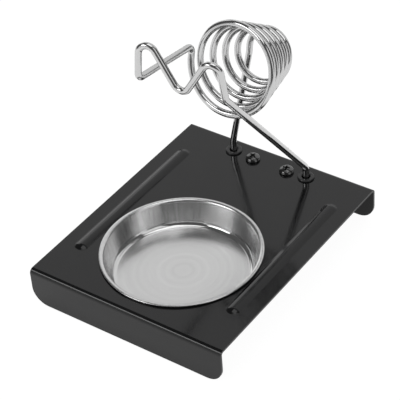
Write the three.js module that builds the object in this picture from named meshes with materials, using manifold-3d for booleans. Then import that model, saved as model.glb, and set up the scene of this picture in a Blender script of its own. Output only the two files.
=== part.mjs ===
// Soldering iron station: a folded steel base with a lift-out dish for the tip
// cleaner, and a holder bent from one length of wire into two legs, a tapering
// coil and a V-shaped rest for the iron.
// Millimetres, +Z up. X runs across the base, -Y is the front with the dish.
// The origin is on the surface that the base stands on, at the base's centre.

import * as THREE from 'three';
import { mergeVertices } from 'three/addons/utils/BufferGeometryUtils.js';
import Module from 'manifold-3d';

// ---------------------------------------------------------------- base plate

const baseHeight = 16;
const sheetThickness = 1;
const foldRadius = 2;             // outside of each fold
const flangeCornerRadius = 7;
const dishFrontMargin = 6.6;      // from the base's front edge to the dish's rim
const dishToClamp = 31;           // from the dish's rim back to the clamp screws
const clampRearMargin = 8.8;      // from the clamp screws to the base's rear edge

const ribWidth = 5.7;
const ribHeight = 1;
const ribGap = 0.65;              // between each rib and the dish's rim
const ribSideMargin = 6.05;       // from each rib to the base's side edge
const ribFrontMargin = 19.5;      // from the base's front edge to each rib
const ribRearMargin = 17.5;       // from each rib to the base's rear edge

// ---------------------------------------------------------------- lift-out dish

const dishMouthRadius = 30.5;
const dishRimWidth = 2.1;
const dishRimHeight = 1.1;        // how far the rolled rim stands above the base
const dishDepth = 10.9;           // from the top of the rim to the floor
const dishDraft = 2.5;            // how far the wall leans in on its way down
const dishFootRadius = 1.4;       // where the wall turns into the floor
const dishSheet = 0.5;
const dishHoleClearance = 0.4;

// ---------------------------------------------------------------- wire holder

const wireDiameter = 2.8;
const wireSides = 8;
const legLeftReach = 10.2;        // sideways from a clamp screw to its leg
const legRightReach = 9;
const legLeftSetback = 1;         // of a leg behind its clamp screw
const legRightSetback = 0.7;
const legBendHeight = 5.4;        // above the base, where each leg starts to lean
const legBendRadius = 4;

const coilTurns = 5;
const coilFrontRadius = 18.8;
const coilRearRadius = 9.6;
const coilPitch = 6.05;
const coilTilt = 16.9;            // degrees that the coil's axis dips to the rear
const coilReach = 25.3;           // of the coil's front ahead of the clamp screws
const coilHeight = 62.9;          // of the axis at the coil's front, above the base
const coilStepsPerTurn = 24;
const coilLead = 2.4;             // how far behind the pitch the first turn starts
const coilLeadTurns = 0.5;        // turns that it takes to fall in with the pitch
const coilLeadStraight = 1.2;     // straight wire between the first turn and its bend
const coilLeadRadius = 2.8;
const coilEndStraight = 0.2;      // straight wire between the last turn and its bend
const coilEndRadius = 14;

const restReach = 29.9;           // of the rest ahead of the coil's front
const restRise = 5.7;             // of the V's lowest corner above the coil's axis
const restDepth = 26.8;           // between the V's corners, before rounding
const restWidth = 34.1;
const restCrestRadius = 3.5;
const restTroughRadius = 3.8;
const armReach = 3.4;             // of the left arm's lower bend ahead of the rest
const armRise = 4.7;              // of that bend above the V's lowest corner
const armRadius = 2.7;
const kneeSetback = 3.5;          // of the right leg's upper bend behind the rest
const kneeRise = 3;             // of that bend above the V's lowest corner
const kneeRadius = 5;

// ---------------------------------------------------------------- fastenings

const screwSpacing = 16.6;
const screwDiameter = 3;
const screwLength = 10;
const screwHeadDiameter = 6.2;
const screwHeadHeight = 2.3;
const screwHeadSide = 0.9;        // height of the head's upright edge
const screwTipChamfer = 0.3;
const recessWidth = 0.9;
const recessSpan = 3.4;
const recessDepth = 1.2;
const holeClearance = 0.2;        // between a shank and the hole it passes
const seatGap = 0.3;              // between the wire's eye and what clamps it
const eyeClearance = 0.35;        // between a shank and the wire's eye
const eyeWrap = 250;              // degrees that each eye turns round its screw
const eyeBendRadius = 2.5;
const washerDiameter = 7;
const washerThickness = 0.5;
const springWasherDiameter = 6;
const springWasherThickness = 0.8;
const springWasherSlit = 1;
const nutAcrossFlats = 5.5;
const nutHeight = 2.4;

const bushDiameter = 7;
const bushFlange = 0.8;
const bushWall = 0.7;
const bushClearance = 0.4;        // between the wire and the bush's bore
const bushHoleClearance = 0.1;

// ---------------------------------------------------------------- derived sizes

const dishRimRadius = dishMouthRadius + dishRimWidth;
const dishFloorRadius = dishMouthRadius - dishDraft;
const dishWallTopRadius = dishMouthRadius + dishSheet;
const dishHoleRadius = dishWallTopRadius + dishHoleClearance;
const dishRimTop = baseHeight + dishRimHeight;
const dishFloor = dishRimTop - dishDepth;

const ribX = dishRimRadius + ribGap + ribWidth / 2;
const ribRadius = (ribWidth ** 2 / 4 + ribHeight ** 2) / (2 * ribHeight);
const ribCentreZ = baseHeight + ribHeight - ribRadius;
const baseWidth = 2 * (ribX + ribWidth / 2 + ribSideMargin);
const baseLength = dishFrontMargin + 2 * dishRimRadius + dishToClamp + clampRearMargin;
const rearEdge = baseLength / 2;
const frontEdge = -rearEdge;
const underside = baseHeight - sheetThickness;
const dishY = frontEdge + dishFrontMargin + dishRimRadius;

const screwX = screwSpacing / 2;
const screwY = rearEdge - clampRearMargin;
const screwRadius = screwDiameter / 2;
const shankHoleRadius = screwRadius + holeClearance;
const legLeft = { x: -screwX - legLeftReach, y: screwY + legLeftSetback };
const legRight = { x: screwX + legRightReach, y: screwY + legRightSetback };

const wireRadius = wireDiameter / 2;
const eyeRadius = screwRadius + eyeClearance + wireRadius;
const eyeHeight = underside - seatGap - wireRadius;
const washerTop = eyeHeight - wireRadius - seatGap;
const springWasherTop = washerTop - washerThickness;
const nutTop = springWasherTop - springWasherThickness;
const bushBoreRadius = wireRadius + bushClearance;
const bushSleeveRadius = bushBoreRadius + bushWall;
const legHoleRadius = bushSleeveRadius + bushHoleClearance;

const coilFrontY = screwY - coilReach;
const coilFrontZ = baseHeight + coilHeight;
const restY = coilFrontY - restReach;
const troughZ = coilFrontZ + restRise;
const crestZ = troughZ + restDepth;

// ---------------------------------------------------------------- materials

const blackPaint = new THREE.MeshStandardMaterial({ color: 0x3d3d3d, roughness: 0.4, metalness: 0.1 });
const stainless = new THREE.MeshStandardMaterial({ color: 0xc4c4c4, roughness: 0.35, metalness: 1 });
const platedWire = new THREE.MeshStandardMaterial({ color: 0xdcdcdc, roughness: 0.18, metalness: 1 });
const blackScrew = new THREE.MeshStandardMaterial({ color: 0x1c1c1c, roughness: 0.3, metalness: 0.6 });
const blackBush = new THREE.MeshStandardMaterial({ color: 0x303030, roughness: 0.45, metalness: 0 });
const zincPlate = new THREE.MeshStandardMaterial({ color: 0xb4b6b8, roughness: 0.35, metalness: 1 });

// ---------------------------------------------------------------- solid tools

const wasm = await Module();
wasm.setup();

function solid(geometry) {
  const bare = geometry.clone();
  bare.deleteAttribute('normal');
  bare.deleteAttribute('uv');
  const merged = mergeVertices(bare, 1e-4);
  return new wasm.Manifold(new wasm.Mesh({
    numProp: 3,
    vertProperties: new Float32Array(merged.attributes.position.array),
    triVerts: new Uint32Array(merged.index.array),
  }));
}

function geometry(manifold) {
  const mesh = manifold.getMesh();
  const result = new THREE.BufferGeometry();
  result.setAttribute('position', new THREE.BufferAttribute(mesh.vertProperties, 3));
  result.setIndex(new THREE.BufferAttribute(mesh.triVerts, 1));
  const flat = result.toNonIndexed();
  flat.computeVertexNormals();
  return flat;
}

// A shape extruded upwards from z.
function slab(shape, z, height, curveSegments = 12) {
  return new THREE.ExtrudeGeometry(shape, { depth: height, bevelEnabled: false, curveSegments })
    .translate(0, 0, z);
}

// An upright cylinder with its axis at x, y and its foot at z.
function post(x, y, z, radius, height, sides = 24) {
  return new THREE.CylinderGeometry(radius, radius, height, sides)
    .rotateX(Math.PI / 2)
    .translate(x, y, z + height / 2);
}

// A profile of [radius, height] pairs turned round the upright axis.
function turned(profile, sides) {
  const points = profile.map(([r, z]) => new THREE.Vector2(r, z));
  return new THREE.LatheGeometry(points, sides).rotateX(Math.PI / 2);
}

// Points of an arc in a profile, as [radius, height] pairs.
function arc(r, z, radius, from, to, steps) {
  return Array.from({ length: steps + 1 }, (_, i) => {
    const angle = THREE.MathUtils.degToRad(from + (to - from) * i / steps);
    return [r + radius * Math.cos(angle), z + radius * Math.sin(angle)];
  });
}

function ringShape(outerRadius, innerRadius) {
  const shape = new THREE.Shape();
  shape.absarc(0, 0, outerRadius, 0, 2 * Math.PI);
  const hole = new THREE.Path();
  hole.absarc(0, 0, innerRadius, 0, 2 * Math.PI, true);
  shape.holes.push(hole);
  return shape;
}

// ---------------------------------------------------------------- base plate

// Side view of the folded sheet: x of the shape is Y, y of the shape is Z.
function foldedSection() {
  const end = baseLength / 2;
  const inner = foldRadius - sheetThickness;
  const bend = end - foldRadius;
  const bendZ = baseHeight - foldRadius;
  const shape = new THREE.Shape();
  shape.moveTo(end - sheetThickness, 0);
  shape.lineTo(end, 0);
  shape.absarc(bend, bendZ, foldRadius, 0, Math.PI / 2);
  shape.absarc(-bend, bendZ, foldRadius, Math.PI / 2, Math.PI);
  shape.lineTo(-end, 0);
  shape.lineTo(-end + sheetThickness, 0);
  shape.absarc(-bend, bendZ, inner, Math.PI, Math.PI / 2, true);
  shape.absarc(bend, bendZ, inner, Math.PI / 2, 0, true);
  return shape;
}

// Front view of the blank, with the flanges' lower corners rounded.
function frontOutline() {
  const half = baseWidth / 2;
  const r = flangeCornerRadius;
  const shape = new THREE.Shape();
  shape.moveTo(-half + r, 0);
  shape.absarc(half - r, r, r, -Math.PI / 2, 0);
  shape.lineTo(half, baseHeight + 1);
  shape.lineTo(-half, baseHeight + 1);
  shape.absarc(-half + r, r, r, Math.PI, 1.5 * Math.PI);
  return shape;
}

// A long rib with round ends, whose crown is an arc round the rib's axis.
function ribForm(x, radius, foot) {
  const start = THREE.MathUtils.radToDeg(Math.asin((foot - ribCentreZ) / radius));
  const crown = arc(0, ribCentreZ, radius, start, 90, 5).slice(0, -1);
  const dome = [[0, foot], ...crown, [0, ribCentreZ + radius]];
  const front = frontEdge + ribFrontMargin + ribWidth / 2;
  const rear = rearEdge - ribRearMargin - ribWidth / 2;
  return wasm.Manifold.hull([front, rear].map((y) => solid(turned(dome, 24).translate(x, y, 0))));
}

function basePlate() {
  const toFront = new THREE.Matrix4().makeBasis(
    new THREE.Vector3(0, 1, 0), new THREE.Vector3(0, 0, 1), new THREE.Vector3(1, 0, 0));
  const folded = new THREE.ExtrudeGeometry(foldedSection(), {
    depth: baseWidth, bevelEnabled: false, curveSegments: 6,
  }).applyMatrix4(toFront).translate(-baseWidth / 2, 0, 0);
  const blank = new THREE.ExtrudeGeometry(frontOutline(), {
    depth: baseLength + 2, bevelEnabled: false, curveSegments: 8,
  }).rotateX(Math.PI / 2).translate(0, baseLength / 2 + 1, 0);

  let plate = solid(folded).intersect(solid(blank));
  for (const x of [-ribX, ribX]) {
    plate = plate.add(ribForm(x, ribRadius, baseHeight - sheetThickness / 2));
    plate = plate.subtract(ribForm(x, ribRadius - sheetThickness, underside - sheetThickness / 2));
  }
  const below = underside - 1;
  const through = baseHeight + 1 - below;
  const cuts = [
    post(0, dishY, below, dishHoleRadius, through, 64),
    post(legLeft.x, legLeft.y, below, legHoleRadius, through),
    post(legRight.x, legRight.y, below, legHoleRadius, through),
    post(-screwX, screwY, below, shankHoleRadius, through),
    post(screwX, screwY, below, shankHoleRadius, through),
  ];
  for (const cut of cuts) {
    plate = plate.subtract(solid(cut));
  }
  return geometry(plate);
}

// ---------------------------------------------------------------- dish

// Pressed bowl with a rolled rim whose edge stands on the base.
function dish() {
  const floorUnder = dishFloor - dishSheet;
  const foot = dishFootRadius;
  const crown = dishRimWidth / 2;
  const rimMiddle = dishMouthRadius + crown;
  const crownZ = dishRimTop - crown;
  const innerCrown = crown - dishSheet;
  const profile = [
    [0, dishFloor],
    ...arc(dishFloorRadius - foot, dishFloor + foot, foot, -90, -8, 4),
    ...arc(rimMiddle, crownZ, crown, 180, 0, 8),
    [dishRimRadius, baseHeight],
    [dishRimRadius - dishSheet, baseHeight],
    ...arc(rimMiddle, crownZ, innerCrown, 0, 180, 6),
    ...arc(dishFloorRadius - foot, dishFloor + foot, foot + dishSheet, -8, -90, 4),
    [0, floorUnder],
  ];
  return turned(profile.reverse(), 48).translate(0, dishY, 0);
}

// ---------------------------------------------------------------- wire path

const point = (x, y, z) => new THREE.Vector3(x, y, z);

// Stations along an arc that rounds the corner between two straight runs.
function roundedCorner(before, corner, after, radius) {
  const incoming = corner.clone().sub(before).normalize();
  const outgoing = after.clone().sub(corner).normalize();
  const turn = incoming.angleTo(outgoing);
  const reach = radius * Math.tan(turn / 2);
  const start = corner.clone().addScaledVector(incoming, -reach);
  const inward = outgoing.clone().addScaledVector(incoming, -outgoing.dot(incoming)).normalize();
  const steps = Math.max(2, Math.ceil(THREE.MathUtils.radToDeg(turn) / 15));
  return Array.from({ length: steps + 1 }, (_, i) => {
    const angle = turn * i / steps;
    return {
      place: start.clone()
        .addScaledVector(incoming, radius * Math.sin(angle))
        .addScaledVector(inward, radius * (1 - Math.cos(angle))),
      heading: incoming.clone().multiplyScalar(Math.cos(angle))
        .addScaledVector(inward, Math.sin(angle)),
    };
  });
}

// Stations along straight runs that meet in rounded corners.
function bentRun(corners) {
  return corners.slice(1, -1).flatMap(({ at, radius }, i) =>
    roundedCorner(corners[i].at, at, corners[i + 2].at, radius));
}

// The corner where wire that leaves a place straight along a heading, then
// bends towards a target, would meet that target's line.
function cornerTowards(from, heading, target, straight, radius) {
  const turn = heading.angleTo(target.clone().sub(from));
  return from.clone().addScaledVector(heading, straight + radius * Math.tan(turn / 2));
}

// Stations round a screw, from where the wire meets the eye to its cut end.
// turn is 1 when the wire goes round anticlockwise seen from above.
function eye(centre, leg, turn) {
  const toLeg = Math.atan2(leg.y - centre.y, leg.x - centre.x);
  const distance = Math.hypot(leg.x - centre.x, leg.y - centre.y);
  const first = toLeg + turn * Math.acos(eyeRadius / distance);
  const steps = Math.ceil(eyeWrap / 20);
  return Array.from({ length: steps + 1 }, (_, i) => {
    const angle = first + turn * THREE.MathUtils.degToRad(eyeWrap) * i / steps;
    return {
      place: point(centre.x + eyeRadius * Math.cos(angle),
        centre.y + eyeRadius * Math.sin(angle), eyeHeight),
      heading: point(-turn * Math.sin(angle), turn * Math.cos(angle), 0),
    };
  });
}

// One station of the coil, t turns from its front end on the left.
function coilStation(t) {
  const tilt = THREE.MathUtils.degToRad(coilTilt);
  const axis = point(0, Math.cos(tilt), -Math.sin(tilt));
  const across = point(1, 0, 0);
  const upright = point(0, Math.sin(tilt), Math.cos(tilt));
  const angle = Math.PI * (1 + 2 * t);
  const taper = (coilRearRadius - coilFrontRadius) / coilTurns;
  const radius = coilFrontRadius + taper * t;
  const behind = Math.max(0, 1 - t / coilLeadTurns);
  const advance = coilPitch * t + coilLead * behind ** 2;
  const advanceRate = coilPitch - 2 * coilLead * behind / coilLeadTurns;
  const spoke = across.clone().multiplyScalar(Math.cos(angle))
    .addScaledVector(upright, Math.sin(angle));
  const sweep = across.clone().multiplyScalar(-Math.sin(angle))
    .addScaledVector(upright, Math.cos(angle));
  return {
    place: point(0, coilFrontY, coilFrontZ)
      .addScaledVector(axis, advance)
      .addScaledVector(spoke, radius),
    heading: sweep.multiplyScalar(2 * Math.PI * radius)
      .addScaledVector(axis, advanceRate)
      .addScaledVector(spoke, taper)
      .normalize(),
  };
}

function wireStations() {
  const steps = coilTurns * coilStepsPerTurn;
  const coil = Array.from({ length: steps + 1 }, (_, i) => coilStation(i / coilStepsPerTurn));
  const coilStart = coil[0];
  const coilEnd = coil[coil.length - 1];

  const rightEye = eye({ x: screwX, y: screwY }, legRight, 1).reverse()
    .map(({ place, heading }) => ({ place, heading: heading.negate() }));
  const leftEye = eye({ x: -screwX, y: screwY }, legLeft, -1);
  const half = restWidth / 2;
  const arm = point(-half, restY - armReach, troughZ + armRise);
  const leftBend = point(legLeft.x, legLeft.y, baseHeight + legBendHeight);
  const lead = cornerTowards(coilStart.place, coilStart.heading.clone().negate(), arm,
    coilLeadStraight, coilLeadRadius);
  const end = cornerTowards(coilEnd.place, coilEnd.heading, leftBend,
    coilEndStraight, coilEndRadius);

  const front = bentRun([
    { at: rightEye[rightEye.length - 1].place },
    { at: point(legRight.x, legRight.y, eyeHeight), radius: eyeBendRadius },
    { at: point(legRight.x, legRight.y, baseHeight + legBendHeight), radius: legBendRadius },
    { at: point(legRight.x, restY + kneeSetback, troughZ + kneeRise), radius: kneeRadius },
    { at: point(half, restY, crestZ), radius: restCrestRadius },
    { at: point(0, restY, troughZ), radius: restTroughRadius },
    { at: point(-half, restY, crestZ), radius: restCrestRadius },
    { at: arm, radius: armRadius },
    { at: lead, radius: coilLeadRadius },
    { at: coilStart.place },
  ]);
  const rear = bentRun([
    { at: coilEnd.place },
    { at: end, radius: coilEndRadius },
    { at: leftBend, radius: legBendRadius },
    { at: point(legLeft.x, legLeft.y, eyeHeight), radius: eyeBendRadius },
    { at: leftEye[0].place },
  ]);
  return [...rightEye, ...front, ...coil, ...rear, ...leftEye];
}

// A curve through stations, each with its own place and heading.
class StationCurve extends THREE.Curve {
  constructor(stations) {
    super();
    this.stations = stations;
  }

  span(t) {
    const scaled = t * (this.stations.length - 1);
    const index = Math.min(Math.floor(scaled + 1e-6), this.stations.length - 2);
    return { from: this.stations[index], to: this.stations[index + 1], part: scaled - index };
  }

  getUtoTmapping(u) {
    return u;
  }

  getPoint(t, target = new THREE.Vector3()) {
    const { from, to, part } = this.span(t);
    return target.lerpVectors(from.place, to.place, part);
  }

  getTangent(t, target = new THREE.Vector3()) {
    const { from, to, part } = this.span(t);
    return target.lerpVectors(from.heading, to.heading, part).normalize();
  }
}

function wireHolder() {
  const stations = wireStations();
  const section = new THREE.Shape(Array.from({ length: wireSides }, (_, i) => {
    const angle = 2 * Math.PI * (i + 0.5) / wireSides;
    return new THREE.Vector2(wireRadius * Math.cos(angle), wireRadius * Math.sin(angle));
  }));
  return new THREE.ExtrudeGeometry(section, {
    steps: stations.length - 1,
    extrudePath: new StationCurve(stations),
  });
}

// ---------------------------------------------------------------- fastenings

// Cross-recessed pan-head screw, its head's seat at z = 0.
function screw() {
  const r = screwHeadDiameter / 2;
  const crown = screwHeadHeight - screwHeadSide;
  const blank = turned([
    [0, -screwLength],
    [screwRadius - screwTipChamfer, -screwLength],
    [screwRadius, -screwLength + screwTipChamfer],
    [screwRadius, 0],
    [r, 0],
    [r, screwHeadSide],
    ...[15, 30, 50, 70].map((a) => {
      const angle = THREE.MathUtils.degToRad(a);
      return [r * Math.cos(angle), screwHeadSide + crown * Math.sin(angle)];
    }),
    [0, screwHeadHeight],
  ], 24);
  const slotTop = 1;
  const slot = (width, span) => new THREE.BoxGeometry(width, span, recessDepth + slotTop)
    .translate(0, 0, screwHeadHeight + (slotTop - recessDepth) / 2);
  return geometry(solid(blank)
    .subtract(solid(slot(recessWidth, recessSpan)))
    .subtract(solid(slot(recessSpan, recessWidth))));
}

// Bush that lines a leg's hole, its flange's seat at z = 0.
function bush() {
  const r = bushDiameter / 2;
  const edge = bushFlange / 2;
  return turned([
    [bushBoreRadius, -sheetThickness],
    [bushSleeveRadius, -sheetThickness],
    [bushSleeveRadius, 0],
    [r, 0],
    [r, edge],
    [r - edge, bushFlange],
    [bushBoreRadius + edge / 2, bushFlange],
    [bushBoreRadius, bushFlange - edge / 2],
    [bushBoreRadius, -sheetThickness],
  ], 24);
}

function flatWasher() {
  return slab(ringShape(washerDiameter / 2, shankHoleRadius), -washerThickness, washerThickness);
}

function springWasher() {
  const outer = springWasherDiameter / 2;
  const half = springWasherSlit / 2;
  const from = Math.asin(half / outer);
  const back = Math.asin(half / shankHoleRadius);
  const shape = new THREE.Shape();
  shape.absarc(0, 0, outer, from, 2 * Math.PI - from);
  shape.absarc(0, 0, shankHoleRadius, 2 * Math.PI - back, back, true);
  return slab(shape, -springWasherThickness, springWasherThickness);
}

function hexNut() {
  const corner = nutAcrossFlats / Math.sqrt(3);
  const shape = new THREE.Shape(Array.from({ length: 6 }, (_, i) => {
    const angle = Math.PI * i / 3;
    return new THREE.Vector2(corner * Math.cos(angle), corner * Math.sin(angle));
  }));
  const bore = new THREE.Path();
  bore.absarc(0, 0, shankHoleRadius, 0, 2 * Math.PI, true);
  shape.holes.push(bore);
  return slab(shape, -nutHeight, nutHeight);
}

// ---------------------------------------------------------------- assembly

const station = new THREE.Group();
station.name = 'soldering_iron_station';

function add(name, shape, material, x = 0, y = 0, z = 0) {
  const mesh = new THREE.Mesh(shape, material);
  mesh.name = name;
  mesh.position.set(x, y, z);
  station.add(mesh);
}

add('base_plate', basePlate(), blackPaint);
add('sponge_dish', dish(), stainless);
add('wire_holder', wireHolder(), platedWire);
add('leg_bush_left', bush(), blackBush, legLeft.x, legLeft.y, baseHeight);
add('leg_bush_right', bush(), blackBush, legRight.x, legRight.y, baseHeight);
for (const [side, x] of [['left', -screwX], ['right', screwX]]) {
  add(`clamp_screw_${side}`, screw(), blackScrew, x, screwY, baseHeight);
  add(`flat_washer_${side}`, flatWasher(), zincPlate, x, screwY, washerTop);
  add(`spring_washer_${side}`, springWasher(), zincPlate, x, screwY, springWasherTop);
  add(`hex_nut_${side}`, hexNut(), zincPlate, x, screwY, nutTop);
}

export default station;
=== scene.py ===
"""Soldering iron station: a black folded base, a stainless dish and a bright wire holder.

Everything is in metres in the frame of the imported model: +Z up, the dish at -Y,
the origin on the bench at the middle of the base. Shapes are worked out in millimetres
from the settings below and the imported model's boxes, and are made in metres.
"""

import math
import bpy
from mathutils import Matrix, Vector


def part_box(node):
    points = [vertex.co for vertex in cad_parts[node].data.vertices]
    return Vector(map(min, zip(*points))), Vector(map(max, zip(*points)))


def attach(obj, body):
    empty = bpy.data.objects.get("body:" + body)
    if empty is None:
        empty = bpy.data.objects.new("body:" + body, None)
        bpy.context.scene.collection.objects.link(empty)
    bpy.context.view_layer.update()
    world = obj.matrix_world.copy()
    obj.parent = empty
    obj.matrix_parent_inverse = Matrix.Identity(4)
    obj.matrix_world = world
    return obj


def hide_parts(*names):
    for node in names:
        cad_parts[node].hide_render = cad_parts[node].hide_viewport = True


bl_info = {
    "name": "Soldering Iron Station",
    "version": (1, 0, 0),
    "blender": (4, 5, 0),
    "location": "View3D > Sidebar > Station",
    "description": "Models a bench stand for a soldering iron and sets it in a studio",
    "category": "Object",
}

from types import SimpleNamespace

import bmesh
import bpy
from bpy.props import FloatProperty, FloatVectorProperty, IntProperty, PointerProperty
from mathutils import Vector

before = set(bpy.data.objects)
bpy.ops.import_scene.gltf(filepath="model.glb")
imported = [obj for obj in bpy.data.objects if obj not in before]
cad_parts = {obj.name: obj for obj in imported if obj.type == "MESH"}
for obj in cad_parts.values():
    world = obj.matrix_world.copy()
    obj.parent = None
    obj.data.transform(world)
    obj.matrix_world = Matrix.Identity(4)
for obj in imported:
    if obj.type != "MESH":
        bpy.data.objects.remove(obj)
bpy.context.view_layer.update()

MM = 0.001              # a millimetre in metres
NEAR = 0.01             # how near a line a point counts as on it, mm
SAME_PLACE = 1e-7       # how near each other two points are merged, in metres
WIDE_ROUND = 128        # sides of the dish and of its hole
MIDDLE_ROUND = 48       # sides of ribs, screws, bushes, washers and nuts
SMALL_ROUND = 32        # sides of the base's small holes


# ---------------------------------------------------------------- sizes from the frame

def middle(node):
    """Middle of a node's box, in millimetres."""
    low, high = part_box(node)
    return (low + high) / 2 / MM


def extent(node, axis):
    """Lowest and highest value of a node along an axis, in millimetres."""
    low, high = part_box(node)
    return low[axis] / MM, high[axis] / MM


BUSH_FLANGE = 0.8
BASE_TOP = extent("leg_bush_left", 2)[1] - BUSH_FLANGE
BASE_FRONT, BASE_REAR = extent("base_plate", 1)
BASE_HALF = extent("base_plate", 0)[1]
DISH = middle("sponge_dish")
DISH_RIM = extent("sponge_dish", 0)[1]
DISH_TOP = extent("sponge_dish", 2)[1]
SCREWS = {side: middle(f"clamp_screw_{side}") for side in ("left", "right")}
LEGS = {side: middle(f"leg_bush_{side}") for side in ("left", "right")}


# ---------------------------------------------------------------- settings

def length(name, value, description):
    """A length that the sidebar shows, from its value in millimetres."""
    return FloatProperty(name=name, default=value * MM, min=0.0, unit="LENGTH", precision=5,
                         description=description)


def linear(value):
    """Linear red, green and blue of an sRGB hex value such as 0x3c3c3c."""
    channels = [(value >> shift & 255) / 255 for shift in (16, 8, 0)]
    return tuple(c / 12.92 if c <= 0.04045 else ((c + 0.055) / 1.055) ** 2.4 for c in channels)


def colour(name, value, description):
    """A colour that the sidebar shows, from an sRGB hex value."""
    return FloatVectorProperty(name=name, default=linear(value), size=3, min=0, max=1,
                               subtype="COLOR", description=description)


def in_mm(settings):
    """A group's settings by name, with the lengths in millimetres."""
    values = {}
    for key in settings.__annotations__:
        value = getattr(settings, key)
        if settings.bl_rna.properties[key].unit == "LENGTH":
            value = round(value / MM, 4)
        values[key] = value
    return SimpleNamespace(**values)


class BaseSettings(bpy.types.PropertyGroup):
    sheet: length("Sheet", 1.0, "Thickness of the base's steel sheet")
    fold: length("Fold radius", 2.0, "Outside radius of the front and rear folds")
    corner: length("Corner radius", 7.0, "Radius of the flanges' lower corners")
    edge: length("Edge", 0.18, "How far the sheet's cut edges are rounded")
    rib_width: length("Rib width", 5.7, "Width of each raised rib")
    rib_height: length("Rib height", 1.0, "Height of each raised rib")
    rib_root: length("Rib root", 0.6, "Radius where each rib's side meets the sheet")
    rib_x: length("Rib offset", 36.1, "From the base's middle to each rib")
    rib_front: length("Rib front", 19.5, "From the front edge to each rib")
    rib_rear: length("Rib rear", 17.5, "From the rear edge to each rib")
    dish_hole: length("Dish hole", 31.4, "Radius of the hole that the dish sits in")
    leg_hole: length("Leg hole", 2.6, "Radius of the hole for each leg's bush")
    screw_hole: length("Screw hole", 1.7, "Radius of each clamp screw's hole")
    enamel: colour("Enamel", 0x151516, "Colour of the base's enamel")


class DishSettings(bpy.types.PropertyGroup):
    mouth: length("Mouth", 30.5, "Radius inside the rim")
    floor: length("Floor", 28.0, "Radius where the wall meets the floor")
    depth: length("Depth", 10.9, "From the top of the rim to the floor")
    sheet: length("Sheet", 0.5, "Thickness of the dish's sheet")
    bend: length("Bend", 2.2, "Radius inside the bend between floor and wall")
    foot: length("Foot", 1.9, "Radius of the same bend on the underside")
    lip: length("Lip", 1.25, "Radius over which the wall turns out into the rim")
    hem: length("Hem", 0.4, "Radius of the rim's outer edge")
    steel: colour("Steel", 0xDADADA, "Colour of the dish's stainless steel")


class HolderSettings(bpy.types.PropertyGroup):
    wire: length("Wire", 2.8, "Diameter of the wire")
    turns: IntProperty(name="Turns", default=5, min=1, description="Turns of the coil")
    front_radius: length("Front radius", 18.8, "Radius of the coil's first turn")
    rear_radius: length("Rear radius", 9.6, "Radius of the coil's last turn")
    pitch: length("Pitch", 6.05, "Distance between turns")
    tilt: FloatProperty(name="Tilt", default=math.radians(16.9), subtype="ANGLE",
                        description="How far the coil's axis dips to the rear")
    coil_setback: length("Coil setback", 25.3, "From the screws forward to the coil's front")
    coil_height: length("Coil height", 62.9, "From the base up to the middle of the coil's front")
    rest_reach: length("Rest reach", 29.9, "From the coil's front forward to the rest")
    rest_rise: length("Rest rise", 5.7, "From the coil's middle up to the rest's trough")
    rest_depth: length("Rest depth", 26.8, "From the rest's trough up to its crests")
    rest_width: length("Rest width", 34.1, "Between the rest's crests")
    plating: colour("Plating", 0xCFCFCF, "Colour of the wire's nickel plating")


class FasteningSettings(bpy.types.PropertyGroup):
    thread: length("Thread", 3.0, "Diameter of the screws' thread")
    head: length("Screw head", 6.2, "Diameter of each screw's head")
    head_height: length("Head height", 2.3, "Height of each screw's head")
    recess: length("Recess", 3.7, "Width across each screw's cross recess")
    bush: length("Bush", 7.0, "Diameter of each leg bush's flange")
    washer: length("Washer", 7.0, "Diameter of each flat washer")
    nut: length("Nut", 5.5, "Width across each nut's flats")
    oxide: colour("Black oxide", 0x0C0C0C, "Colour of the blackened screws")
    nylon: colour("Nylon", 0x262627, "Colour of the leg bushes")
    zinc: colour("Zinc", 0xB9BBBD, "Colour of the zinc-plated washers and nuts")


class StageSettings(bpy.types.PropertyGroup):
    floor: colour("Floor", 0xF4F4F4, "Colour of the floor")
    focal: FloatProperty(name="Focal length", default=148.77, min=1.0, unit="CAMERA",
                         description="The camera's focal length")


# ---------------------------------------------------------------- modelling by hand

def metres(x, y, z):
    """A place in metres, from millimetres."""
    return (x * MM, y * MM, z * MM)


def start_afresh():
    """Leaves edit mode and deselects everything."""
    if bpy.context.mode != "OBJECT":
        bpy.ops.object.mode_set(mode="OBJECT")
    bpy.ops.object.select_all(action="DESELECT")


def select_only(piece):
    """Leaves edit mode and makes a piece the only one selected, and the active one."""
    start_afresh()
    piece.select_set(True)
    bpy.context.view_layer.objects.active = piece


def begin(name):
    """Starts an empty piece at the origin and opens it for editing."""
    start_afresh()
    bpy.ops.mesh.primitive_plane_add(size=MM)
    piece = bpy.context.object
    piece.name = name
    bpy.ops.object.mode_set(mode="EDIT")
    bpy.ops.mesh.select_mode(type="VERT")
    bpy.ops.mesh.select_all(action="SELECT")
    bpy.ops.mesh.delete(type="VERT")
    return piece


def pick(test, mode="VERT"):
    """In edit mode, selects the vertices, edges or faces all of whose points pass the test."""
    bpy.ops.mesh.select_all(action="DESELECT")
    bpy.ops.mesh.select_mode(type=mode)
    mesh = bpy.context.object.data
    edit = bmesh.from_edit_mesh(mesh)
    if mode == "VERT":
        for vertex in edit.verts:
            vertex.select_set(bool(test(vertex.co / MM)))
    else:
        for part in (edit.edges if mode == "EDGE" else edit.faces):
            part.select_set(all(test(v.co / MM) for v in part.verts))
    edit.select_flush_mode()
    bmesh.update_edit_mesh(mesh)


def ring(radius, x, y, z, sides, turn=0.0):
    """In edit mode, adds a circle of edges, all selected."""
    bpy.ops.mesh.primitive_circle_add(vertices=sides, radius=radius * MM,
                                      location=metres(x, y, z), rotation=(0, 0, turn))


def extrude(x, y, z):
    """Extrudes what is selected and moves it."""
    bpy.ops.mesh.extrude_region_move(TRANSFORM_OT_translate={"value": metres(x, y, z)})


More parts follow.
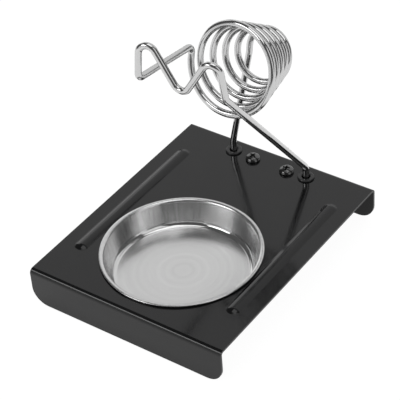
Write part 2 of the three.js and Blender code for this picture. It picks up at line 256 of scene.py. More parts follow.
def turned(name, profile, x, y, z, sides):
    """A closed profile of (radius, height) turned round an upright axis, left in edit mode.

    The profile runs from the axis to the axis, or ends where it starts.
    """
    piece = begin(name)
    start, end = profile[0], profile[-1]
    ring(start[0], x, y, z + start[1], sides)
    if start != end:
        bpy.ops.mesh.edge_face_add()
    for (r0, z0), (r1, z1) in zip(profile, profile[1:]):
        extrude(0, 0, z1 - z0)
        if r1 != r0:
            bpy.ops.transform.resize(value=(r1 / r0, r1 / r0, 1),
                                     center_override=metres(x, y, z + z1))
    return piece


def arc(r, z, radius, start, end, steps):
    """Points of an arc in a profile, as (radius, height) pairs."""
    angles = [math.radians(start + (end - start) * i / steps) for i in range(steps + 1)]
    return [(r + radius * math.cos(a), z + radius * math.sin(a)) for a in angles]


def close_solid():
    """Closes the selected ring, turns all faces outwards and ends editing."""
    bpy.ops.mesh.edge_face_add()
    bpy.ops.mesh.select_all(action="SELECT")
    bpy.ops.mesh.normals_make_consistent(inside=False)
    bpy.ops.object.mode_set(mode="OBJECT")


def merge_and_turn_out():
    """Merges the piece's doubles, turns its faces outwards and ends editing."""
    bpy.ops.mesh.select_all(action="SELECT")
    bpy.ops.mesh.remove_doubles(threshold=SAME_PLACE)
    bpy.ops.mesh.normals_make_consistent(inside=False)
    bpy.ops.object.mode_set(mode="OBJECT")


def smooth(piece, angle):
    """Shades a piece smooth, except across edges sharper than the angle in degrees."""
    select_only(piece)
    bpy.ops.object.shade_smooth_by_angle(angle=math.radians(angle))


def dress(piece, body, replaced, material):
    """Gives a piece its material, its body and the node that it stands for."""
    piece.data.materials.clear()
    piece.data.materials.append(material)
    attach(piece, body)
    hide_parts(replaced)


def finish_piece(piece, angle, body, replaced, material):
    """Ends a piece's editing, smooths it, and dresses it."""
    merge_and_turn_out()
    smooth(piece, angle)
    dress(piece, body, replaced, material)


def apply(piece, kind, **settings):
    """Adds a modifier with its settings and applies it."""
    select_only(piece)
    modifier = piece.modifiers.new(kind.title(), kind)
    for key, value in settings.items():
        setattr(modifier, key, value)
    bpy.ops.object.modifier_apply(modifier=modifier.name)


def cut_with(piece, cutters, operation="DIFFERENCE"):
    """Cuts a piece with others, which are then removed, and merges the cut's double points."""
    for cutter in cutters:
        apply(piece, "BOOLEAN", object=cutter, operation=operation, solver="EXACT")
        bpy.data.objects.remove(cutter)
    bpy.ops.object.mode_set(mode="EDIT")
    bpy.ops.mesh.select_all(action="SELECT")
    bpy.ops.mesh.remove_doubles(threshold=10 * SAME_PLACE)
    bpy.ops.object.mode_set(mode="OBJECT")


def drill(place, radius, sides):
    """An upright cylinder, taller than the sheet is thick, that cuts a hole in the base."""
    tall = 6
    cutter = begin("drill")
    bpy.ops.mesh.primitive_cylinder_add(vertices=sides, radius=radius * MM, depth=tall * MM,
                                        location=metres(place.x, place.y, BASE_TOP))
    bpy.ops.object.mode_set(mode="OBJECT")
    return cutter


# ---------------------------------------------------------------- materials

def new_material(name):
    """A material with no nodes yet, and the function that adds a node to it."""
    material = bpy.data.materials.get(name) or bpy.data.materials.new(name)
    material.use_nodes = True
    tree = material.node_tree
    tree.nodes.clear()
    return material, lambda kind, **kw: add_node(tree, kind, **kw)


def add_node(tree, kind, links=None, values=None, **settings):
    """Adds a node: settings name its properties or sockets, and links and values give
    its sockets by name or number."""
    node = tree.nodes.new(kind)
    for key, value in settings.items():
        if key in node.bl_rna.properties:
            setattr(node, key, value)
        else:
            node.inputs[key.replace("_", " ")].default_value = value
    for key, value in (values or {}).items():
        node.inputs[key].default_value = value
    for key, source in (links or {}).items():
        tree.links.new(source, node.inputs[key])
    return node


def enamel(colour_value):
    """Semi-gloss black stoving enamel: dark grey, a soft sheen that blurs what it mirrors,
    and the faint dimpling of a sprayed coat."""
    material, node = new_material("black_enamel_sheet_steel")
    coords = node("ShaderNodeTexCoord")
    here = coords.outputs["Object"]
    # Cloudy tone, about 9 mm across, as of a coat that is thicker in places.
    cloud = node("ShaderNodeTexNoise", links={"Vector": here}, Scale=0.11 / MM, Detail=3.0)
    tone = node("ShaderNodeMapRange", links={"Value": cloud.outputs["Fac"]},
                From_Min=0.3, From_Max=0.7, To_Min=0.86, To_Max=1.14)
    base = node("ShaderNodeMix", data_type="RGBA", blend_type="MULTIPLY",
                values={0: 1.0, 6: (*colour_value, 1)}, links={7: tone.outputs["Result"]})
    # Dimples of the sprayed coat, about 0.8 mm apart.
    peel = node("ShaderNodeTexNoise", links={"Vector": here}, Scale=1.25 / MM, Detail=1.0)
    gloss = node("ShaderNodeMapRange", links={"Value": cloud.outputs["Fac"]},
                 From_Min=0.3, From_Max=0.7, To_Min=0.1, To_Max=0.14)
    bump = node("ShaderNodeBump", links={"Height": peel.outputs["Fac"]},
                Strength=0.06, Distance=0.02 * MM)
    shader = node("ShaderNodeBsdfPrincipled", IOR=1.45, links={
        "Base Color": base.outputs[2],
        "Roughness": gloss.outputs["Result"],
        "Normal": bump.outputs["Normal"],
    })
    node("ShaderNodeOutputMaterial", links={"Surface": shader.outputs["BSDF"]})
    return material


def stainless(dish):
    """Pressed stainless steel: a satin grey, with fine drawn streaks up the wall and faint
    rings on the floor."""
    material, node = new_material("satin_stainless_steel")
    coords = node("ShaderNodeTexCoord")
    centred = node("ShaderNodeMapping", links={"Vector": coords.outputs["Object"]},
                   Location=(-DISH.x * MM, -DISH.y * MM, 0), Scale=(1, 1, 0))
    flat = centred.outputs["Vector"]
    radius = node("ShaderNodeVectorMath", operation="LENGTH", links={0: flat})
    outward = node("ShaderNodeVectorMath", operation="NORMALIZE", links={0: flat})
    # Streaks about 1 mm apart round the wall, which begin at the floor's edge.
    streaked = node("ShaderNodeMapRange", links={"Value": radius.outputs["Value"]},
                    From_Min=(dish.floor - 2) * MM, From_Max=(dish.floor - 0.5) * MM,
                    To_Min=0.0, To_Max=dish.floor)
    round_wall = node("ShaderNodeVectorMath", operation="SCALE",
                      links={0: outward.outputs["Vector"],
                             "Scale": streaked.outputs["Result"]})
    # Rings about 3 mm apart on the floor.
    outwards = node("ShaderNodeMath", operation="MULTIPLY", values={1: 0.35 / MM},
                    links={0: radius.outputs["Value"]})
    rings = node("ShaderNodeCombineXYZ", links={"Z": outwards.outputs["Value"]})
    grain = node("ShaderNodeVectorMath", operation="ADD",
                 links={0: round_wall.outputs["Vector"], 1: rings.outputs["Vector"]})
    streaks = node("ShaderNodeTexNoise", links={"Vector": grain.outputs["Vector"]},
                   Scale=1.0, Detail=2.0, Roughness=0.5)
    satin = node("ShaderNodeMapRange", links={"Value": streaks.outputs["Fac"]},
                 From_Min=0.3, From_Max=0.7, To_Min=0.2, To_Max=0.26)
    # Where the sheet is drawn round the bend at the floor's edge it is smoother.
    bend = node("ShaderNodeMath", operation="COMPARE",
                values={1: (dish.floor - 0.6) * MM, 2: dish.bend / 2 * MM},
                links={0: radius.outputs["Value"]})
    rubbed = node("ShaderNodeMapRange", links={"Value": bend.outputs["Value"]},
                  To_Min=1.0, To_Max=0.35)
    rough = node("ShaderNodeMath", operation="MULTIPLY",
                 links={0: satin.outputs["Result"], 1: rubbed.outputs["Result"]})
    # The streaks and rings show as a faint change of tone as well.
    shade = node("ShaderNodeMapRange", links={"Value": streaks.outputs["Fac"]},
                 From_Min=0.35, From_Max=0.65)
    dark, pale = [(*(channel * share for channel in dish.steel), 1) for share in (0.95, 1.05)]
    tint = node("ShaderNodeMix", data_type="RGBA", values={6: dark, 7: pale},
                links={0: shade.outputs["Result"]})
    shader = node("ShaderNodeBsdfPrincipled", Metallic=1.0, links={
        "Base Color": tint.outputs[2], "Roughness": rough.outputs["Value"]})
    node("ShaderNodeOutputMaterial", links={"Surface": shader.outputs["BSDF"]})
    return material


def smooth_finish(name, colour_value, metallic, roughness, haze, per_mm, ior=1.5):
    """A smooth finish whose roughness varies by the haze, in patches so many to the
    millimetre."""
    material, node = new_material(name)
    coords = node("ShaderNodeTexCoord")
    patches = node("ShaderNodeTexNoise", links={"Vector": coords.outputs["Object"]},
                   Scale=per_mm / MM, Detail=3.0)
    rough = node("ShaderNodeMapRange", links={"Value": patches.outputs["Fac"]},
                 From_Min=0.3, From_Max=0.7,
                 To_Min=roughness - haze, To_Max=roughness + haze)
    shader = node("ShaderNodeBsdfPrincipled", links={"Roughness": rough.outputs["Result"]},
                  Base_Color=(*colour_value, 1), Metallic=metallic, IOR=ior)
    node("ShaderNodeOutputMaterial", links={"Surface": shader.outputs["BSDF"]})
    return material


def nickel(colour_value):
    """Nickel-plated drawn wire: bright, with a slight haze that softens what it mirrors."""
    return smooth_finish("nickel_plated_wire", colour_value, metallic=1.0, roughness=0.115,
                         haze=0.025, per_mm=0.4)


def black_oxide(colour_value):
    """Blackened and lacquered steel: almost black, with small clear highlights."""
    return smooth_finish("black_oxide_steel", colour_value, metallic=0.0, roughness=0.13,
                         haze=0.03, per_mm=0.9, ior=2.0)


def moulded_nylon(colour_value):
    """Black moulded nylon: a soft dark grey with a broad, low sheen."""
    return smooth_finish("black_moulded_nylon", colour_value, metallic=0.0, roughness=0.3,
                         haze=0.05, per_mm=0.7)


def zinc_plate(colour_value):
    """Zinc-plated steel: a dull silver that blurs what it mirrors."""
    return smooth_finish("zinc_plated_steel", colour_value, metallic=1.0, roughness=0.34,
                         haze=0.06, per_mm=0.5)


# ---------------------------------------------------------------- base

STRIP = 0.5     # flat strip beside each fold and round each rib, which keeps the shading flat


def rib_profile(width, height, root):
    """Pairs of (distance from the rib's middle, height), from its foot to its crown."""
    radius = (width ** 2 / 4 + height ** 2) / (2 * height)
    lean = math.acos((radius - height + root) / (radius + root))
    foot = (radius + root) * math.sin(lean)
    steepest = math.degrees(lean)
    fillet = arc(foot, root, root, -90, -90 - steepest, 4)
    crown = arc(0, height - radius, radius, 90 - steepest, 88, 12)
    return fillet + crown[1:]


def ribbed_sheet(s, half_length):
    """Fills the flat sheet between the folds, and raises its two ribs."""
    profile = rib_profile(s.rib_width, s.rib_height, s.rib_root)
    outer = profile[0][0] + STRIP
    front = BASE_FRONT + s.rib_front + s.rib_width / 2
    rear = BASE_REAR - s.rib_rear - s.rib_width / 2
    centre = metres(0, 0, BASE_TOP)
    bpy.ops.mesh.primitive_plane_add(size=2 * MM, location=centre)
    bpy.ops.transform.resize(value=(BASE_HALF, half_length, 1), center_override=centre)
    bpy.ops.mesh.delete(type="ONLY_FACE")
    for x in (-s.rib_x, s.rib_x):
        ring(outer, x, front, BASE_TOP, MIDDLE_ROUND, math.pi / MIDDLE_ROUND)
        pick(lambda p: math.hypot(p.x - x, p.y - front) < outer + NEAR and p.y > front)
        bpy.ops.transform.translate(value=metres(0, rear - front, 0))
    bpy.ops.mesh.select_mode(type="EDGE")
    bpy.ops.mesh.select_all(action="SELECT")
    bpy.ops.mesh.fill(use_beauty=True)
    inside = outer + NEAR
    for x in (-s.rib_x, s.rib_x):
        pick(lambda p: abs(p.x - x) < inside and front - inside < p.y < rear + inside, "EDGE")
        bpy.ops.mesh.edge_face_add()
        steps = [(outer, 0.0)] + profile
        for (r0, z0), (r1, z1) in zip(steps, steps[1:]):
            bpy.ops.mesh.inset(thickness=(r0 - r1) * MM, depth=(z1 - z0) * MM,
                               use_even_offset=True)


def fold_down(s, half_length, side):
    """Folds a flange down along the sheet's front (side -1) or rear (side 1) edge."""
    pick(lambda p: abs(p.y * side - half_length) < NEAR and abs(abs(p.x) - BASE_HALF) < NEAR,
         "EDGE")
    extrude(0, side * STRIP, 0)
    fold_centre = metres(0, side * (half_length + STRIP), BASE_TOP - s.fold)
    bpy.ops.mesh.spin(steps=12, angle=side * math.pi / 2, axis=(1, 0, 0), center=fold_centre)
    extrude(0, 0, -STRIP)
    extrude(0, 0, s.fold + STRIP - BASE_TOP)


class STATION_OT_base(bpy.types.Operator):
    """Folds the base from one sheet, with its ribs and holes"""
    bl_idname = "station.base"
    bl_label = "Base"

    def execute(self, context):
        s = in_mm(context.scene.station_base)
        half_length = BASE_REAR - s.fold - STRIP
        piece = begin("enamel_base")
        ribbed_sheet(s, half_length)
        for side in (-1, 1):
            fold_down(s, half_length, side)
        # The flanges' lower corners are the only points on the bench.
        pick(lambda p: p.z < NEAR)
        bpy.ops.mesh.bevel(affect="VERTICES", offset=s.corner * MM, segments=14)
        merge_and_turn_out()
        apply(piece, "SOLIDIFY", thickness=s.sheet * MM, offset=-1.0, use_even_offset=True)
        holes = [drill(DISH, s.dish_hole, WIDE_ROUND)]
        for side in ("left", "right"):
            holes.append(drill(LEGS[side], s.leg_hole, SMALL_ROUND))
            holes.append(drill(SCREWS[side], s.screw_hole, SMALL_ROUND))
        cut_with(piece, holes)
        apply(piece, "BEVEL", width=s.edge * MM, segments=3, limit_method="ANGLE",
              angle_limit=math.radians(50))
        smooth(piece, 40)
        apply(piece, "WEIGHTED_NORMAL", keep_sharp=True, weight=80)
        dress(piece, "base", "base_plate", enamel(s.enamel))
        return {"FINISHED"}


# ---------------------------------------------------------------- dish

class STATION_OT_dish(bpy.types.Operator):
    """Turns the pressed dish, from its flat floor round the bend to the rolled-over rim"""
    bl_idname = "station.dish"
    bl_label = "Dish"

    def execute(self, context):
        s = in_mm(context.scene.station_dish)
        floor = DISH_TOP - s.depth
        pole = 0.6                              # radius of the small face at the middle
        bend_centre = s.floor - 1.75            # how far out the inner bend's centre lies
        lip_centre = s.mouth + s.lip
        foot_centre = s.foot - s.sheet          # how far in and up from the floor's edge
        foot_drop = 0.35                        # how far the bend hangs below the underside
        hem_outside, hem_inside = DISH_RIM - 0.6, DISH_RIM - 0.9    # the rim's cut edge
        rim_flat, rim_thick = 0.2, 0.55
        # The floor has several rings, so that it shades flat.
        profile = [
            *[(r, floor) for r in (pole, 8.0, 16.0, 22.0, 25.0)],
            *arc(bend_centre, floor + s.bend, s.bend, -90, -13, 18),
            *arc(lip_centre, DISH_TOP - s.lip, s.lip, 180, 92, 12),
            (lip_centre + rim_flat, DISH_TOP),
            *arc(DISH_RIM - s.hem, DISH_TOP - s.hem, s.hem, 80, -50, 8),
            (hem_outside, BASE_TOP), (hem_inside, BASE_TOP), (hem_inside, DISH_TOP - rim_thick),
            *arc(lip_centre, DISH_TOP - s.lip, s.lip - s.sheet, 60, 180, 5),
            *arc(s.floor - foot_centre, floor + foot_centre - foot_drop, s.foot, -8, -90, 8),
            *[(r, floor - s.sheet) for r in (24.0, 12.0, pole)],
        ]
        piece = turned("steel_dish", profile, DISH.x, DISH.y, 0, WIDE_ROUND)
        bpy.ops.mesh.edge_face_add()
        finish_piece(piece, 40, "dish", "sponge_dish", stainless(s))
        return {"FINISHED"}


# ---------------------------------------------------------------- wire holder

def rounded(before, corner, after, radius):
    """Points along an arc that rounds the corner between two straight runs."""
    come = (corner - before).normalized()
    go = (after - corner).normalized()
    turn = come.angle(go)
    start = corner - come * radius * math.tan(turn / 2)
    inward = (go - come * go.dot(come)).normalized()
    steps = max(4, math.ceil(math.degrees(turn) / 6))
    angles = [turn * i / steps for i in range(steps + 1)]
    return [start + come * radius * math.sin(a) + inward * radius * (1 - math.cos(a))
            for a in angles]


def bent_run(corners):
    """Points along straight runs that meet in rounded corners, each (place, radius)."""
    run = []
    for (before, _), (corner, radius), (after, _) in zip(corners, corners[1:], corners[2:]):
        run += rounded(before, corner, after, radius)
    return run


def bend_corner(start, heading, target, straight, radius):
    """Corner of the bend that takes a straight run on from a place towards a target."""
    turn = heading.angle(target - start)
    return start + heading * (straight + radius * math.tan(turn / 2))


def coil_point(s, t, front):
    """Place and heading of the coil's wire, t turns from its front end on the left."""
    lead, lead_turns = 2.4, 0.5     # the start lies this far back, for this much of a turn
    axis = Vector((0, math.cos(s.tilt), -math.sin(s.tilt)))
    across = Vector((1, 0, 0))
    upright = Vector((0, math.sin(s.tilt), math.cos(s.tilt)))
    angle = math.pi * (1 + 2 * t)
    taper = (s.rear_radius - s.front_radius) / s.turns
    radius = s.front_radius + taper * t
    behind = max(0.0, 1 - t / lead_turns)
    spoke = across * math.cos(angle) + upright * math.sin(angle)
    sweep = upright * math.cos(angle) - across * math.sin(angle)
    place = front + axis * (s.pitch * t + lead * behind ** 2) + spoke * radius
    heading = (sweep * 2 * math.pi * radius + spoke * taper
               + axis * (s.pitch - 2 * lead * behind / lead_turns))
    return place, heading.normalized()


def eye_points(screw, leg, turn, height, radius):
    """Points of the eye round a screw, from where the wire meets it to its cut end."""
    away = Vector((leg.x - screw.x, leg.y - screw.y))
    first = math.atan2(away.y, away.x) + turn * math.acos(radius / away.length)
    steps = 40
    angles = [first + turn * math.radians(250) * i / steps for i in range(steps + 1)]
    return [Vector((screw.x + radius * math.cos(a), screw.y + radius * math.sin(a), height))
            for a in angles]


def wire_path(s, sheet, thread):
    """Centre line of the whole wire, in millimetres, from one eye to the other.

    It runs from the right eye up the right leg, over the rest, back along the left arm
    into the coil, and from the coil's rear end down the left leg.
    """
    eye_gap, eye_clearance, eye_bend = 0.3, 0.35, 2.5   # under the sheet, round the screw
    leg_rise, leg_bend = 5.4, 4.0                       # each leg's lower bend
    knee_setback, knee_rise, knee_bend = 3.5, 3.0, 5.0  # the right leg's upper bend
    crest_bend, trough_bend = 3.5, 3.8                  # the rest's V
    arm_reach, arm_rise, arm_bend = 3.4, 4.7, 2.7       # the left arm's front end
    lead_straight, lead_bend = 1.2, 2.8                 # from the arm into the coil
    tail_straight, tail_bend = 0.2, 14.0                # from the coil into the left leg
    eye_height = BASE_TOP - sheet - eye_gap - s.wire / 2
    eye_radius = thread / 2 + eye_clearance + s.wire / 2
    left, right = LEGS["left"], LEGS["right"]
    right_eye = eye_points(SCREWS["right"], right, 1, eye_height, eye_radius)[::-1]
    left_eye = eye_points(SCREWS["left"], left, -1, eye_height, eye_radius)

    front = Vector((0, SCREWS["left"].y - s.coil_setback, BASE_TOP + s.coil_height))
    steps = s.turns * 72
    coil = [coil_point(s, s.turns * i / steps, front) for i in range(steps + 1)]
    start, start_heading = coil[0]
    end, end_heading = coil[-1]

    rest_y = front.y - s.rest_reach
    trough_z = front.z + s.rest_rise
    crest_z = trough_z + s.rest_depth
    crest_x = s.rest_width / 2
    knee = Vector((right.x, rest_y + knee_setback, trough_z + knee_rise))
    arm = Vector((-crest_x, rest_y - arm_reach, trough_z + arm_rise))
    lead = bend_corner(start, -start_heading, arm, lead_straight, lead_bend)
    shoulder = Vector((left.x, left.y, BASE_TOP + leg_rise))
    tail = bend_corner(end, end_heading, shoulder, tail_straight, tail_bend)
    front_run = bent_run([
        (right_eye[-1], 0),
        (Vector((right.x, right.y, eye_height)), eye_bend),
        (Vector((right.x, right.y, BASE_TOP + leg_rise)), leg_bend),
        (knee, knee_bend),
        (Vector((crest_x, rest_y, crest_z)), crest_bend),
        (Vector((0, rest_y, trough_z)), trough_bend),
        (Vector((-crest_x, rest_y, crest_z)), crest_bend),
        (arm, arm_bend),
        (lead, lead_bend),
        (start, 0),
    ])
    rear_run = bent_run([
        (end, 0),
        (tail, tail_bend),
        (shoulder, leg_bend),
        (Vector((left.x, left.y, eye_height)), eye_bend),
        (left_eye[0], 0),
    ])
    return right_eye + front_run + [place for place, _ in coil] + rear_run + left_eye


class STATION_OT_holder(bpy.types.Operator):
    """Bends the holder's wire: legs, rest, arm and coil"""
    bl_idname = "station.holder"
    bl_label = "Wire holder"

    def execute(self, context):
        s = in_mm(context.scene.station_holder)
        sheet = in_mm(context.scene.station_base).sheet
        thread = in_mm(context.scene.station_fastenings).thread
        points = wire_path(s, sheet, thread)
        start_afresh()
        bpy.ops.curve.primitive_bezier_curve_add()
        curve = context.object.data
        curve.splines.clear()
        spline = curve.splines.new("POLY")
        spline.points.add(len(points) - 1)
        for knot, place in zip(spline.points, points):
            knot.co = (*(place * MM), 1)
        curve.dimensions = "3D"
        curve.bevel_depth = s.wire / 2 * MM
        curve.bevel_resolution = 3
        curve.use_fill_caps = True
        bpy.ops.object.convert(target="MESH")
        piece = context.object
        piece.name = "holder_wire"
        bpy.ops.object.mode_set(mode="EDIT")
        finish_piece(piece, 50, "base", "wire_holder", nickel(s.plating))
        return {"FINISHED"}


# ---------------------------------------------------------------- fastenings

def cross_cutters(place, top, span, turn):
    """Two crossed tapering blocks for a screw's cross recess, turned by turn degrees."""
    width, depth = 0.85, 1.7    # of the recess
    above = 1.0                 # how far the blocks stand above the head
    narrowed = (0.45, 0.8)      # how much of its span and width is left at the bottom
    height = depth + above
    centre = metres(place.x, place.y, top + above - height / 2)
    bottom = metres(place.x, place.y, top - depth)
    cutters = []
    for size, share in (((span, width), narrowed), ((width, span), narrowed[::-1])):
        cutter = begin("recess")
        bpy.ops.mesh.primitive_cube_add(size=MM, location=centre)
        bpy.ops.transform.resize(value=(*size, height), center_override=centre)
        pick(lambda p: p.z < top, "FACE")
        bpy.ops.transform.resize(value=(*share, 1), center_override=bottom)
        bpy.ops.mesh.select_all(action="SELECT")
        bpy.ops.transform.rotate(value=math.radians(turn), orient_axis="Z",
                                 center_override=metres(place.x, place.y, top))
        bpy.ops.mesh.normals_make_consistent(inside=False)
        bpy.ops.object.mode_set(mode="OBJECT")
        cutters.append(cutter)
    return cutters


def screw_profile(s, end):
    """A pan-head screw's (radius, height) pairs, from its tip to the top of its head."""
    crest, root, pitch = s.thread / 2, s.thread / 2 - 0.22, 0.5     # of the thread
    thread_top = -6.0                               # above it the shank is plain
    pole, tip, tip_height = 0.2, 1.25, 0.3          # of the chamfered end
    head, side, corner = s.head / 2, 0.8, 0.2       # the head's radius, side and its corner
    thread = []
    z = end + tip_height
    while z < thread_top:
        thread += [(root, z), (crest, z + 0.2), (crest, z + 0.28)]
        z += pitch
    dome = [(head * 0.97 * math.cos(a), side + (s.head_height - side) * math.sin(a))
            for a in map(math.radians, (14, 22, 32, 44, 56, 68, 79, 86))]
    return [
        (pole, end), (tip, end), *thread, (crest, thread_top + pitch), (crest, 0),
        (head - 0.1, 0), *arc(head - corner, side - corner, corner, 0, 40, 3), *dome,
    ]


class STATION_OT_screws(bpy.types.Operator):
    """Turns the two clamp screws and cuts their cross recesses"""
    bl_idname = "station.screws"
    bl_label = "Clamp screws"

    def execute(self, context):
        s = in_mm(context.scene.station_fastenings)
        coat = black_oxide(s.oxide)
        tip, _ = extent("clamp_screw_left", 2)
        profile = screw_profile(s, tip - BASE_TOP)
        for (name, place), turn in zip(SCREWS.items(), (14, -20)):
            piece = turned(f"screw_{name}", profile, place.x, place.y, BASE_TOP, MIDDLE_ROUND)
            close_solid()
            head_top = BASE_TOP + s.head_height
            cut_with(piece, cross_cutters(place, head_top, s.recess, turn))
            smooth(piece, 35)
            dress(piece, "base", f"clamp_screw_{name}", coat)
        return {"FINISHED"}


class STATION_OT_bushes(bpy.types.Operator):
    """Turns the two bushes that line the legs' holes"""
    bl_idname = "station.bushes"
    bl_label = "Leg bushes"

    def execute(self, context):
        s = in_mm(context.scene.station_fastenings)
        nylon = moulded_nylon(s.nylon)
        flange, bore, sleeve = s.bush / 2, 1.8, 2.5
        depth = in_mm(context.scene.station_base).sheet
        outside, inside = 0.45, 0.35        # radii of the flange's outer and inner edges
        profile = [
            (bore, -depth), (sleeve, -depth), (sleeve, 0.0), (flange - 0.05, 0.0),
            *arc(flange - outside, BUSH_FLANGE - outside, outside, 0, 90, 8),
            *arc(bore + inside, BUSH_FLANGE - inside, inside, 90, 180, 6),
            (bore, -depth),
        ]
        for name, place in LEGS.items():
            piece = turned(f"bush_{name}", profile, place.x, place.y, BASE_TOP, MIDDLE_ROUND)
            finish_piece(piece, 40, "base", f"leg_bush_{name}", nylon)
        return {"FINISHED"}


def flat_washer(name, place, diameter, zinc):
    """Turns a flat washer with slightly broken edges."""
    low, high = extent(f"flat_washer_{name}", 2)
    bore, rim, edge = 1.7, diameter / 2, 0.08
    profile = [
        (bore, low), (rim - edge, low), (rim, low + edge), (rim, high - edge),
        (rim - edge, high), (bore, high), (bore, low),
    ]
    piece = turned(f"washer_{name}", profile, place.x, place.y, 0, MIDDLE_ROUND)
    finish_piece(piece, 30, "base", f"flat_washer_{name}", zinc)


def spring_washer(name, place, zinc):
    """Spins a spring washer's section round its screw, short of a full turn."""
    low, high = extent(f"spring_washer_{name}", 2)
    radius, width, edge = 2.35, 1.3, 0.08   # the section's place, its width and corners
    gap = 20                                # the split's width in degrees
    piece = begin(f"split_washer_{name}")
    section = metres(place.x + radius, place.y, (low + high) / 2)
    axis = metres(place.x, place.y, 0)
    bpy.ops.mesh.primitive_plane_add(size=MM, location=section, rotation=(math.pi / 2, 0, 0))
    bpy.ops.transform.resize(value=(width, 1, high - low), center_override=section)
    bpy.ops.mesh.bevel(affect="VERTICES", offset=edge * MM, segments=2)
    bpy.ops.mesh.select_all(action="SELECT")
    bpy.ops.transform.rotate(value=-math.radians(gap / 2), orient_axis="Z",
                             center_override=axis)
    bpy.ops.mesh.spin(steps=MIDDLE_ROUND, angle=math.radians(360 - gap), axis=(0, 0, 1),
                      center=axis)
    finish_piece(piece, 30, "base", f"spring_washer_{name}", zinc)


def hex_nut(name, place, flats, zinc):
    """Cuts a nut from a hexagonal bar, with its corners chamfered and its hole bored."""
    low, high = extent(f"hex_nut_{name}", 2)
    corner = flats / math.sqrt(3)
    clear = corner + 0.1            # just outside the bar's corners
    chamfer, chamfer_height = flats / 2 - 0.05, 0.35
    pole, bore = 0.3, 1.6           # the cutters' small middle faces, and the hole
    beyond = 1.0                    # how far the hole's cutter reaches past the nut
    piece = begin(f"nut_{name}")
    bpy.ops.mesh.primitive_cylinder_add(vertices=6, radius=corner * MM,
                                        depth=(high - low) * MM,
                                        location=metres(place.x, place.y, (low + high) / 2),
                                        rotation=(0, 0, math.pi / 6))
    bpy.ops.object.mode_set(mode="OBJECT")
    lens = turned("chamfer", [
        (pole, low), (chamfer, low), (clear, low + chamfer_height),
        (clear, high - chamfer_height), (chamfer, high), (pole, high),
    ], place.x, place.y, 0, MIDDLE_ROUND)
    close_solid()
    cut_with(piece, [lens], "INTERSECT")
    bit = turned("bore", [(pole, low - beyond), (bore, low - beyond), (bore, high + beyond),
                          (pole, high + beyond)], place.x, place.y, 0, MIDDLE_ROUND)
    close_solid()
    cut_with(piece, [bit])
    smooth(piece, 30)
    dress(piece, "base", f"hex_nut_{name}", zinc)


class STATION_OT_washers(bpy.types.Operator):
    """Makes the washers and nuts that clamp the wire's eyes under the base"""
    bl_idname = "station.washers"
    bl_label = "Washers and nuts"

    def execute(self, context):
        s = in_mm(context.scene.station_fastenings)
        zinc = zinc_plate(s.zinc)
        for name, place in SCREWS.items():
            flat_washer(name, place, s.washer, zinc)
            spring_washer(name, place, zinc)
            hex_nut(name, place, s.nut, zinc)
        return {"FINISHED"}


# ---------------------------------------------------------------- stage

def world_light(context):
    """Dim even light from all round a dark studio; the camera sees a white background."""
    world = bpy.data.worlds.new("studio")
    context.scene.world = world
    world.use_nodes = True
    tree = world.node_tree
    tree.nodes.clear()
    dim = add_node(tree, "ShaderNodeBackground", Color=(1, 1, 1, 1), Strength=0.1)
    white = add_node(tree, "ShaderNodeBackground", Color=(1, 1, 1, 1), Strength=1.0)
    path = add_node(tree, "ShaderNodeLightPath")
    mix = add_node(tree, "ShaderNodeMixShader", links={
        0: path.outputs["Is Camera Ray"], 1: dim.outputs[0], 2: white.outputs[0]})
    add_node(tree, "ShaderNodeOutputWorld", links={"Surface": mix.outputs[0]})


def white_card(colour_value):
    """Matt white card: the camera sees it white with a faint shadow of the object, and
    bright metal mirrors it as the lamps light it, a little brighter."""
    material, node = new_material("white_card")
    path = node("ShaderNodeLightPath")
    mirrored = node("ShaderNodeMath", operation="MAXIMUM", links={
        0: path.outputs["Is Glossy Ray"], 1: path.outputs["Is Transmission Ray"]})
    lift = node("ShaderNodeMapRange", links={"Value": mirrored.outputs[0]},
                To_Min=0.0, To_Max=0.42)
    glow = node("ShaderNodeEmission", links={"Strength": lift.outputs["Result"]})
    card = node("ShaderNodeBsdfDiffuse", Color=(*colour_value, 1))
    lit = node("ShaderNodeAddShader", links={0: glow.outputs[0], 1: card.outputs[0]})
    white = node("ShaderNodeEmission", Color=(1, 1, 1, 1), Strength=0.96)
    faint = node("ShaderNodeBsdfDiffuse", Color=(0.12, 0.12, 0.12, 1))
    seen = node("ShaderNodeAddShader", links={0: white.outputs[0], 1: faint.outputs[0]})
    mix = node("ShaderNodeMixShader", links={
        0: path.outputs["Is Camera Ray"], 1: lit.outputs[0], 2: seen.outputs[0]})
    node("ShaderNodeOutputMaterial", links={"Surface": mix.outputs[0]})
    return material


# Softboxes round the object: azimuth and elevation in degrees, width and height in
# metres, and how bright each looks in a mirror, where 1 is white.
SOFTBOXES = {
    "back_panel": (95, 30, 1.74, 1.28, 0.71),
    "back_left_strip": (148, 17.5, 0.47, 0.74, 1.0),
    "front_left_softbox": (240, 37, 0.62, 0.34, 4.5),
    "front_left_panel": (250, 12, 0.92, 0.4, 0.8),
    "right_strip": (350, 28, 0.7, 1.22, 0.72),
    "top_softbox": (355, 84, 0.84, 0.84, 1.4),
}
LAMP_AIM = Vector((0, 0, 0.04))
LAMP_DISTANCE = 1.2


def softbox(name, azimuth, elevation, width, height, level):
    """A rectangular area light that faces the object."""
    turn, rise = math.radians(azimuth), math.radians(elevation)
    away = Vector((math.cos(rise) * math.cos(turn), math.cos(rise) * math.sin(turn),
                   math.sin(rise)))
    bpy.ops.object.light_add(type="AREA", location=LAMP_AIM + away * LAMP_DISTANCE)
    lamp = bpy.context.object
    lamp.name = name
    lamp.data.shape = "RECTANGLE"
    lamp.data.size = width
    lamp.data.size_y = height
    lamp.data.energy = level * math.pi * width * height
    lamp.rotation_euler = away.to_track_quat("Z", "Y").to_euler()


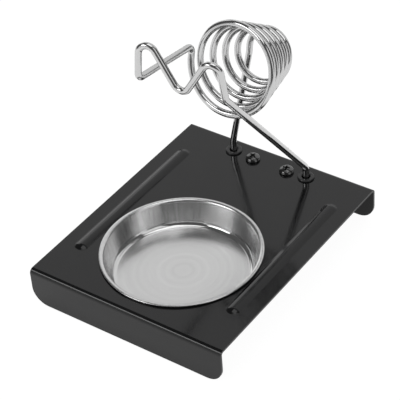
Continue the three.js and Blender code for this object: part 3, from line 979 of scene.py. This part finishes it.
# The camera: where it looks and from how far, in metres, how far round to the right of
# the front and how high it stands, how it is rolled, and how its frame is shifted.
CAMERA_AIM = Vector((0, 0, 0.02))
CAMERA_DISTANCE = 0.65455
CAMERA_TURN, CAMERA_RISE, CAMERA_ROLL = (math.radians(a) for a in (37.43, 39.59, -4.401))
CAMERA_SHIFT = (-0.01213, 0.05102)


def add_camera(context, focal):
    """Sets up the camera from its place round the object."""
    turn, rise, roll = CAMERA_TURN, CAMERA_RISE, CAMERA_ROLL
    gaze = Vector((-math.sin(turn) * math.cos(rise), math.cos(turn) * math.cos(rise),
                   -math.sin(rise)))
    right = Vector((math.cos(turn), math.sin(turn), 0))
    up = right.cross(gaze)
    across = right * math.cos(roll) + up * math.sin(roll)
    upright = up * math.cos(roll) - right * math.sin(roll)
    bpy.ops.object.camera_add(location=CAMERA_AIM - gaze * CAMERA_DISTANCE)
    camera = context.object
    camera.name = "camera"
    axes = camera.matrix_world.to_3x3()
    for row in range(3):
        axes[row] = (across[row], upright[row], -gaze[row])
    camera.rotation_euler = axes.to_euler()
    camera.data.sensor_width = 36
    camera.data.lens = focal
    camera.data.shift_x, camera.data.shift_y = CAMERA_SHIFT
    context.scene.camera = camera


class STATION_OT_stage(bpy.types.Operator):
    """Sets the floor, lights, world and camera"""
    bl_idname = "station.stage"
    bl_label = "Stage"

    def execute(self, context):
        s = context.scene.station_stage
        start_afresh()
        # The floor lies just under the base, so that the two never share a plane.
        bpy.ops.mesh.primitive_plane_add(size=6, location=metres(0, 0, -0.1))
        floor = context.object
        floor.name = "floor"
        floor.data.materials.append(white_card(s.floor))
        world_light(context)
        for name, place in SOFTBOXES.items():
            softbox(name, *place)
        add_camera(context, s.focal)
        context.scene.view_settings.view_transform = "Standard"
        return {"FINISHED"}


# ---------------------------------------------------------------- add-on

class STATION_PT_panel(bpy.types.Panel):
    """Lists the station's sizes, colours and steps"""
    bl_idname = "STATION_PT_panel"
    bl_label = "Soldering Iron Station"
    bl_space_type = "VIEW_3D"
    bl_region_type = "UI"
    bl_category = "Station"

    def draw(self, context):
        for group, _ in GROUPS:
            settings = getattr(context.scene, group)
            box = self.layout.box()
            for key in settings.__annotations__:
                box.prop(settings, key)
        for operator in OPERATORS:
            self.layout.operator(operator.bl_idname)


GROUPS = [
    ("station_base", BaseSettings),
    ("station_dish", DishSettings),
    ("station_holder", HolderSettings),
    ("station_fastenings", FasteningSettings),
    ("station_stage", StageSettings),
]
OPERATORS = [
    STATION_OT_base,
    STATION_OT_dish,
    STATION_OT_holder,
    STATION_OT_bushes,
    STATION_OT_screws,
    STATION_OT_washers,
    STATION_OT_stage,
]


def register():
    for name, group in GROUPS:
        bpy.utils.register_class(group)
        setattr(bpy.types.Scene, name, PointerProperty(type=group))
    for cls in (*OPERATORS, STATION_PT_panel):
        bpy.utils.register_class(cls)


def unregister():
    for cls in (STATION_PT_panel, *reversed(OPERATORS)):
        bpy.utils.unregister_class(cls)
    for name, group in reversed(GROUPS):
        delattr(bpy.types.Scene, name)
        bpy.utils.unregister_class(group)


def main():
    register()
    for operator in OPERATORS:
        family, name = operator.bl_idname.split(".")
        getattr(getattr(bpy.ops, family), name)()


if __name__ == "__main__":
    main()
